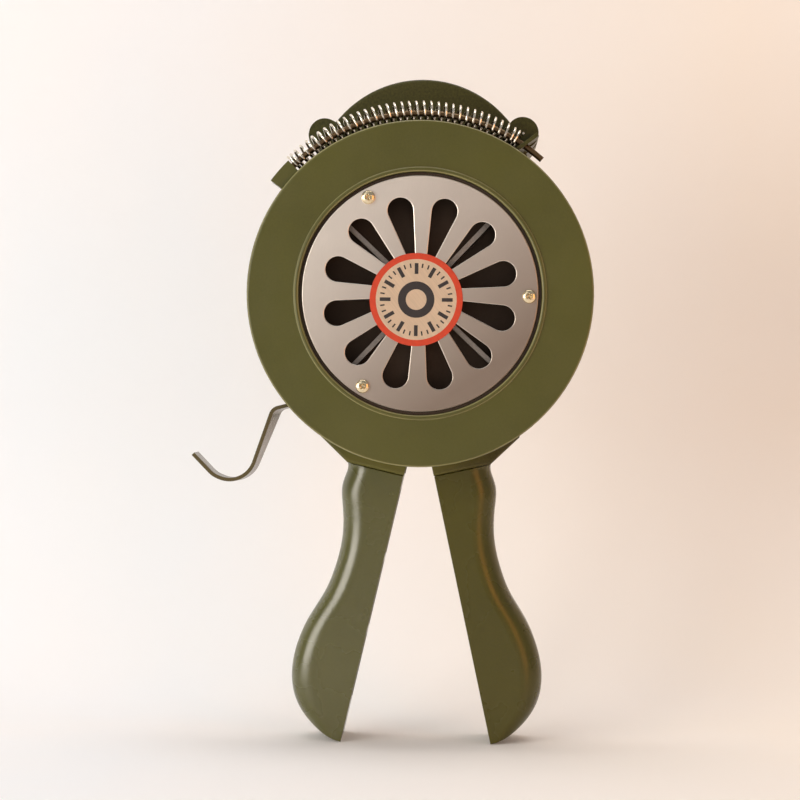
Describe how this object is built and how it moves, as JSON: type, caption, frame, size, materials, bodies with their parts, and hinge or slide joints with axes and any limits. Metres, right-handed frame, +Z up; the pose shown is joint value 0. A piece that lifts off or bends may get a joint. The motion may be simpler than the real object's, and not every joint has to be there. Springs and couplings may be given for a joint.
{
  "type": "hand crank siren",
  "caption": "Hand cranked mechanical siren: ported drum with a grille, thumb lever shutter, geared rotor and rear crank, on two folding half grips.",
  "frame": {"origin": "on the rotor axis, in the plane of the front flange's face", "axes": "+Z up, the grille faces -Y, +X to the right as seen from the front"},
  "size_m": [0.163, 0.1262, 0.2781],
  "materials": {
    "olive_enamel": "satin olive drab enamel with a light orange peel",
    "inner_casting": "dull cast and turned aluminium",
    "lever_enamel": "thin glossy olive enamel on strip steel",
    "grille_steel": "fine grained stainless sheet with sheared slot edges",
    "badge_face": "brushed champagne disc with a red rim",
    "bright_steel": "bright plated screws, rivets and spring",
    "rod_steel": "turned or drawn steel with a warm tint",
    "gear_steel": "cut steel, lightly oiled",
    "bush_bronze": "sintered bronze",
    "knob_plastic": "turned black plastic with a soft sheen"
  },
  "bodies": {
    "housing": {"housing": "olive_enamel", "back_cover": "olive_enamel", "stator": "inner_casting", "grille": "grille_steel", "centre_badge": "badge_face", "return_spring": "bright_steel", "idler_pin": "rod_steel", "leg_pin": "rod_steel", "cover_screws": "bright_steel", "stator_screws": "bright_steel", "grille_screws": "bright_steel", "shutter_guide_screws": "bright_steel", "rotor_bearings": "rod_steel", "crank_bushes": "bush_bronze"},
    "shutter": {"shutter_ring": "olive_enamel", "thumb_lever": "lever_enamel", "guide_rod": "rod_steel", "lever_rivets": "bright_steel"},
    "rotor": {"rotor": "inner_casting", "rotor_shaft": "rod_steel", "rotor_nut": "rod_steel", "rotor_pinion": "gear_steel"},
    "idler": {"idler_gear": "gear_steel", "idler_pinion": "gear_steel"},
    "crank": {"crank_gear": "gear_steel", "crank_shaft": "rod_steel", "crank_arm": "rod_steel", "crank_nut": "rod_steel", "knob_spindle": "rod_steel"},
    "knob": {"crank_knob": "knob_plastic"},
    "left_leg": {"left_leg": "olive_enamel"},
    "right_leg": {"right_leg": "olive_enamel"}
  },
  "joints": [
    {"name": "shutter_turn", "type": "hinge", "parent": "housing", "child": "shutter", "pos_m": [0, 0, 0], "axis": [0, 1, 0], "range_deg": [0, 15], "stiffness_Nm_per_rad": 2.8, "springref_deg": -7.45, "deforming": ["return_spring"]},
    {"name": "crank_turn", "type": "hinge", "parent": "housing", "child": "crank", "pos_m": [0, 0, 0.045], "axis": [0, 1, 0], "continuous": true},
    {"name": "idler_spin", "type": "hinge", "parent": "housing", "child": "idler", "pos_m": [0.02785, 0, 0.0177], "axis": [0, 1, 0], "continuous": true},
    {"name": "rotor_spin", "type": "hinge", "parent": "housing", "child": "rotor", "pos_m": [0, 0, 0], "axis": [0, 1, 0], "continuous": true},
    {"name": "knob_spin", "type": "hinge", "parent": "crank", "child": "knob", "pos_m": [0, 0, -0.015], "axis": [0, 1, 0], "continuous": true},
    {"name": "left_leg_fold", "type": "hinge", "parent": "housing", "child": "left_leg", "pos_m": [0, 0, -0.047], "axis": [0, -1, 0], "range_deg": [0, 12.6]},
    {"name": "right_leg_fold", "type": "hinge", "parent": "housing", "child": "right_leg", "pos_m": [0, 0, -0.047], "axis": [0, 1, 0], "range_deg": [0, 12.6]}
  ],
  "couplings": [
    {"joint": "idler_spin", "follows": "crank_turn", "ratio": -5.5},
    {"joint": "rotor_spin", "follows": "crank_turn", "ratio": 24.75}
  ]
}
